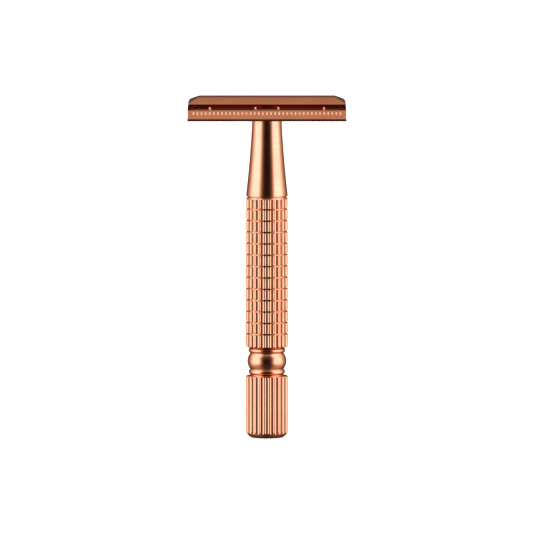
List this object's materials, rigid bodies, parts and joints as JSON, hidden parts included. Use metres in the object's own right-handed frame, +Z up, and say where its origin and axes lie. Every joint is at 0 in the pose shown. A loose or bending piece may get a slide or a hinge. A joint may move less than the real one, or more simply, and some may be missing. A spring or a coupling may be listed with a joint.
{
  "type": "safety razor",
  "caption": "Double-edge safety razor with two curved doors that a twist knob at the foot of its fluted handle opens.",
  "frame": {"origin": "middle of the twist knob's foot, the lowest point of the razor standing upright", "axes": "+Z up the handle to the head, +X along the blade, -Y is the front"},
  "size_m": [0.0448, 0.026, 0.0965],
  "materials": {
    "rose_gold_plate": "rose gold plated, polished",
    "rose_gold_handle": "rose gold plated, polished, machined",
    "brass": "turned, oiled",
    "steel": "turned",
    "plastic_washer": "smooth"
  },
  "bodies": {
    "handle": {"grip_tube": "rose_gold_handle", "shank_cone": "rose_gold_handle", "neck_collar": "rose_gold_handle", "lower_bush": "brass", "thrust_washer": "plastic_washer", "disc_springs": "steel", "backing_washer": "steel", "guard_plate": "rose_gold_plate", "left_bracket": "rose_gold_plate", "right_bracket": "rose_gold_plate", "bracket_rivets": "rose_gold_plate", "hinge_pins": "rose_gold_plate", "hub_nut": "rose_gold_plate", "guide_bush": "brass"},
    "knob": {"twist_knob": "rose_gold_handle", "drive_rod": "steel", "retaining_ring": "steel"},
    "lifter": {"blade_bar": "rose_gold_plate", "lift_post": "brass", "left_lift_plate": "rose_gold_plate", "right_lift_plate": "rose_gold_plate", "plate_rivets": "rose_gold_plate", "blade_studs": "rose_gold_plate"},
    "front_door": {"front_door": "rose_gold_plate", "front_lift_pins": "rose_gold_plate"},
    "rear_door": {"rear_door": "rose_gold_plate", "rear_lift_pins": "rose_gold_plate"}
  },
  "joints": [
    {"name": "knob_turn", "type": "hinge", "parent": "handle", "child": "knob", "pos_m": [0, 0, 0], "axis": [0, 0, -1], "range_deg": [0, 720]},
    {"name": "bar_lift", "type": "slide", "parent": "handle", "child": "lifter", "axis": [0, 0, 1], "range_m": [0, 0.004]},
    {"name": "front_door_swing", "type": "hinge", "parent": "handle", "child": "front_door", "pos_m": [0, -0.0087, 0.09375], "axis": [1, 0, 0], "range_deg": [0, 84]},
    {"name": "rear_door_swing", "type": "hinge", "parent": "handle", "child": "rear_door", "pos_m": [0, 0.0087, 0.09375], "axis": [-1, 0, 0], "range_deg": [0, 84]}
  ],
  "couplings": [
    {"joint": "knob_turn", "follows": "bar_lift", "rad_per_m": 3141.6},
    {"joint": "front_door_swing", "follows": "bar_lift", "rad_per_m": 366.52},
    {"joint": "rear_door_swing", "follows": "bar_lift", "rad_per_m": 366.52}
  ]
}
